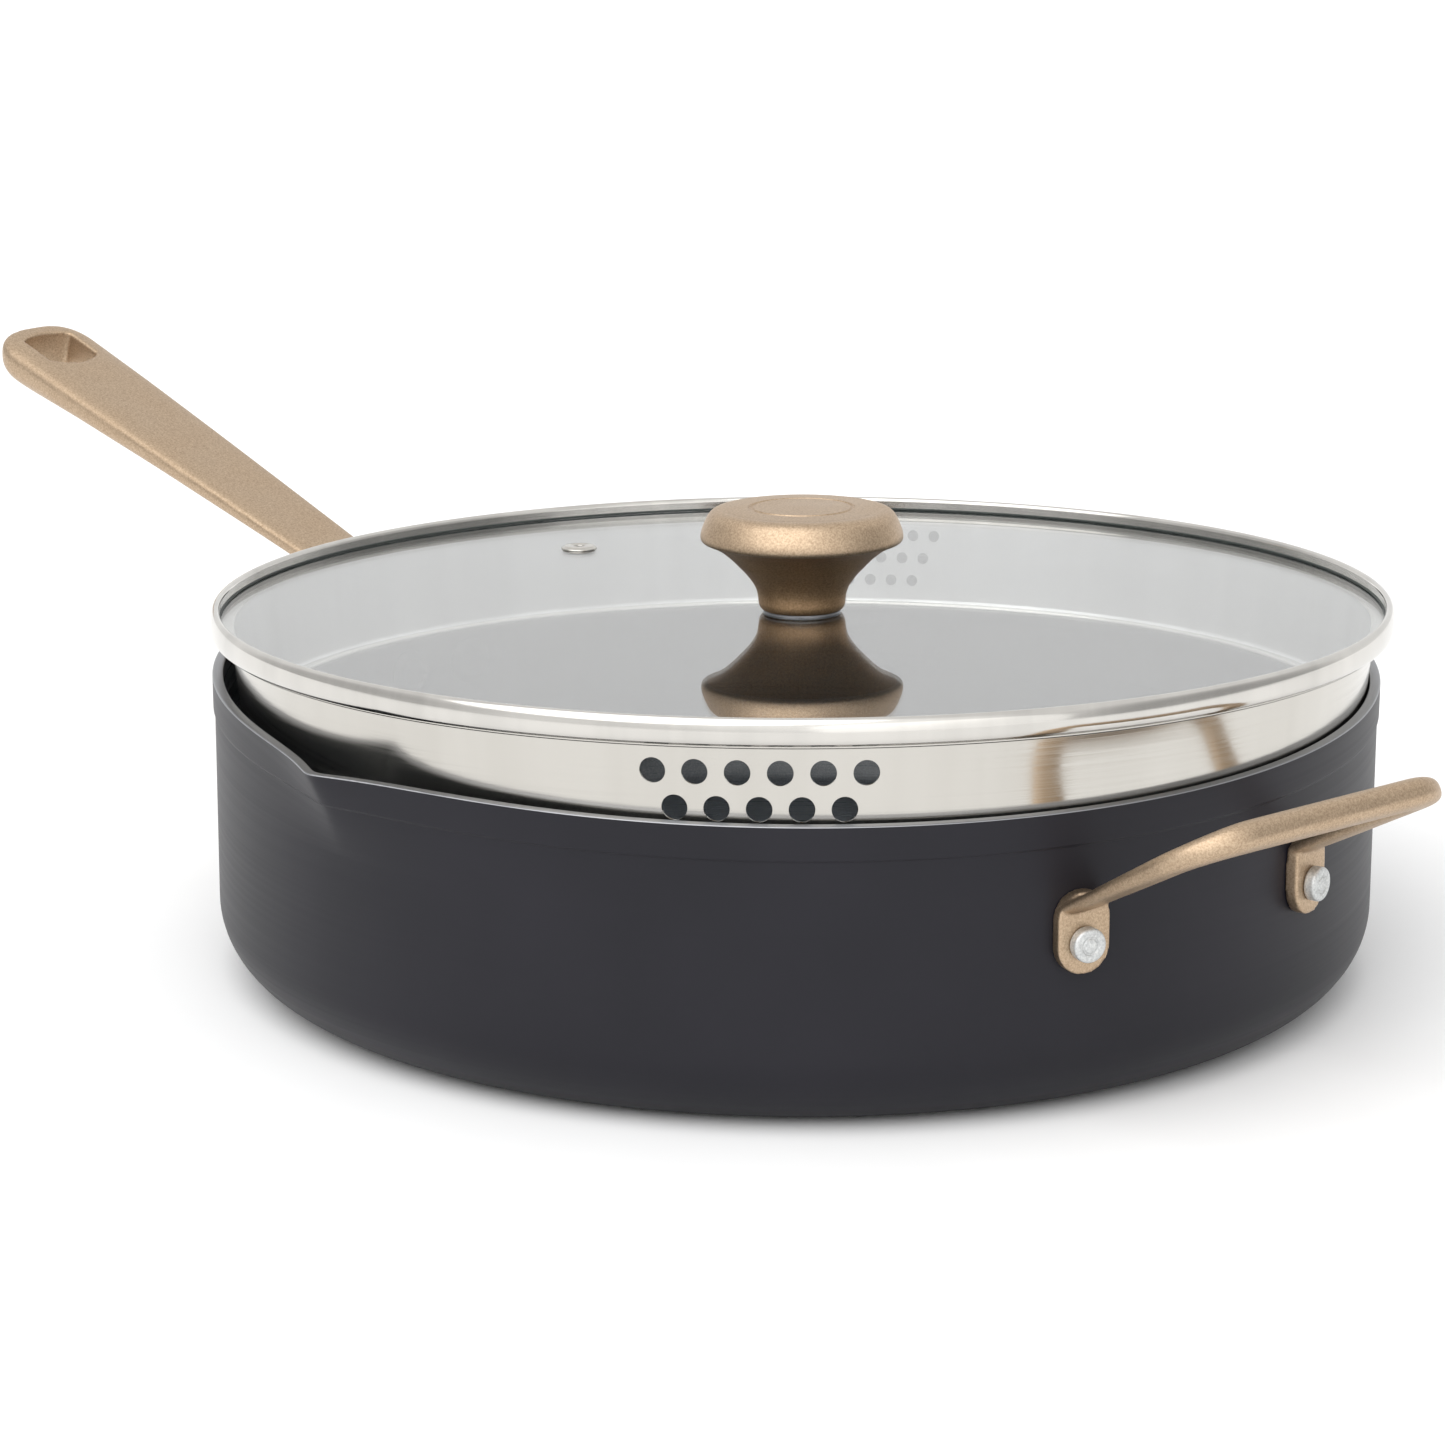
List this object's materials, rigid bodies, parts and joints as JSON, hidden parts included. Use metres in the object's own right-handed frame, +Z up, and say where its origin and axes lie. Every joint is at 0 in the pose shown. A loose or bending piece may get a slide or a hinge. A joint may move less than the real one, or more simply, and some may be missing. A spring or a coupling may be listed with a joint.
{
  "type": "saute pan with straining lid",
  "caption": "Round covered saute pan with pouring spouts, a long stick handle, a loop helper handle and a glass lid with a straining collar.",
  "frame": {"origin": "centre of the flat underside of the pan", "axes": "+Z up out of the pan; the long handle points along -X, the helper handle along +X and the two spouts along +Y and -Y"},
  "size_m": [0.5466, 0.3306, 0.1248],
  "materials": {
    "anodised_body": "satin",
    "gold_finish": "satin",
    "rivet_aluminium": "matte",
    "lid_glass": "gloss",
    "grey_silicone": "matte",
    "polished_steel": "gloss",
    "insert_brass": "satin"
  },
  "bodies": {
    "pan": {"pan_body": "anodised_body", "long_handle": "gold_finish", "helper_handle": "gold_finish", "rivets": "rivet_aluminium"},
    "lid_spindle": {"knob_screw": "polished_steel", "screw_washer": "polished_steel"},
    "lid": {"lid_glass": "lid_glass", "rim_gasket": "grey_silicone", "lid_rim": "polished_steel", "strainer_collar": "polished_steel", "vent_eyelet": "polished_steel", "knob_cap": "gold_finish", "knob_stem": "gold_finish", "knob_insert": "insert_brass", "knob_base_ring": "polished_steel", "glass_seal": "grey_silicone"}
  },
  "joints": [
    {"name": "lid_lift", "type": "slide", "parent": "pan", "child": "lid_spindle", "axis": [0, 0, 1], "range_m": [0, 0.12]},
    {"name": "lid_turn", "type": "hinge", "parent": "lid_spindle", "child": "lid", "pos_m": [0.001, 0.0011, 0.0952], "axis": [-0.0519, 0.0337, 0.9981], "continuous": true}
  ]
}
